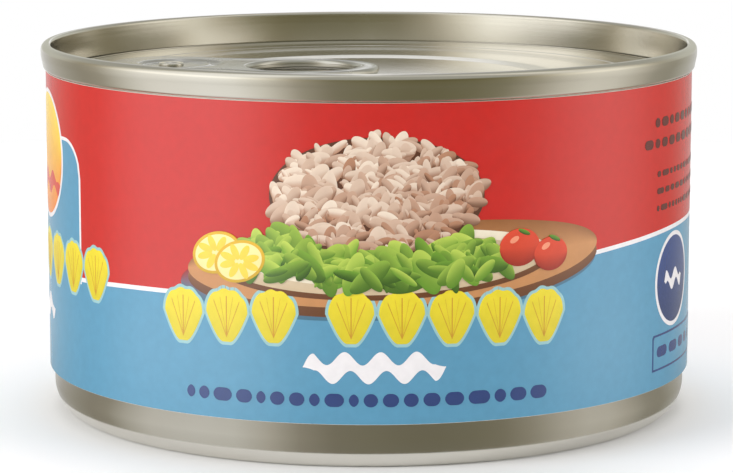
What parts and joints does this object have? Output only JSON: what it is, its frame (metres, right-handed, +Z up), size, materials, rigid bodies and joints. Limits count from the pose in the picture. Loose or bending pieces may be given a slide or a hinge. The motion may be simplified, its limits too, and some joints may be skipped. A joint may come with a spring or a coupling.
{
  "type": "tuna can",
  "caption": "Low round food can with a drawn body, seamed ring-pull end, wrap-round label and recessed panel.",
  "frame": {"origin": "centre of the base plane, under the can's axis", "axes": "+Z up along the can's axis; the front of the label faces -Y and the tab's rivet lies towards -X"},
  "size_m": [0.079, 0.079, 0.0442],
  "materials": {
    "body_metal": "matt champagne lacquer over tinplate",
    "end_metal": "satin champagne lacquer over tinplate",
    "tab_metal": "satin plain metal",
    "label_print": "coated paper, printed red over light blue"
  },
  "bodies": {
    "root": {"can_body": "body_metal", "lid_end": "end_metal", "pull_tab": "tab_metal", "tab_rivet": "tab_metal", "label_wrap": "label_print"}
  },
  "joints": []
}
